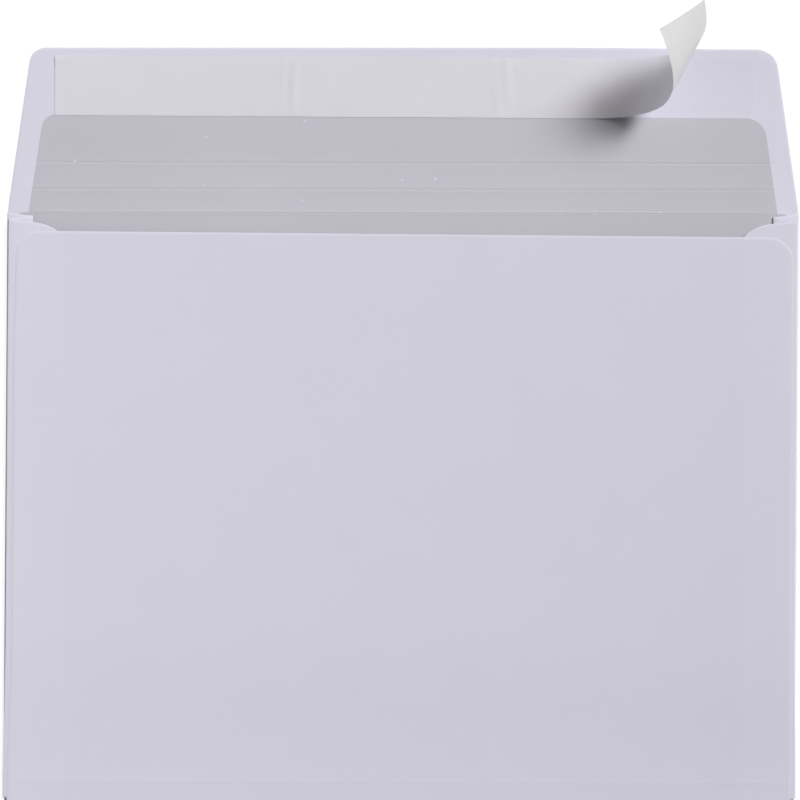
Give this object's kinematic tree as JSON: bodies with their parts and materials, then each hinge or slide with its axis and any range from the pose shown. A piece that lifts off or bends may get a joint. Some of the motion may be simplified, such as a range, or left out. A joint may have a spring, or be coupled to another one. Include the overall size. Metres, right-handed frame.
{
  "type": "gusseted envelope",
  "caption": "Gusseted paper mailing envelope, open flap up, grey inner print, peel-and-seal strip with its release liner half peeled and curled.",
  "frame": {"origin": "centre of the address panel's outer face, on the plane that the envelope lies on", "axes": "+Z out of the address panel towards the back panel, +Y towards the flap, +X to the right seen from the back"},
  "size_m": [0.3242, 0.3239, 0.045],
  "materials": {
    "envelope_paper": "matt uncoated white paper, grey security print on the inner face",
    "adhesive": "thin clear pressure-sensitive glue",
    "liner_paper": "smooth siliconed release paper, satin"
  },
  "bodies": {
    "root": {"envelope": "envelope_paper", "closure_adhesive": "adhesive", "release_liner": "liner_paper"}
  },
  "joints": []
}
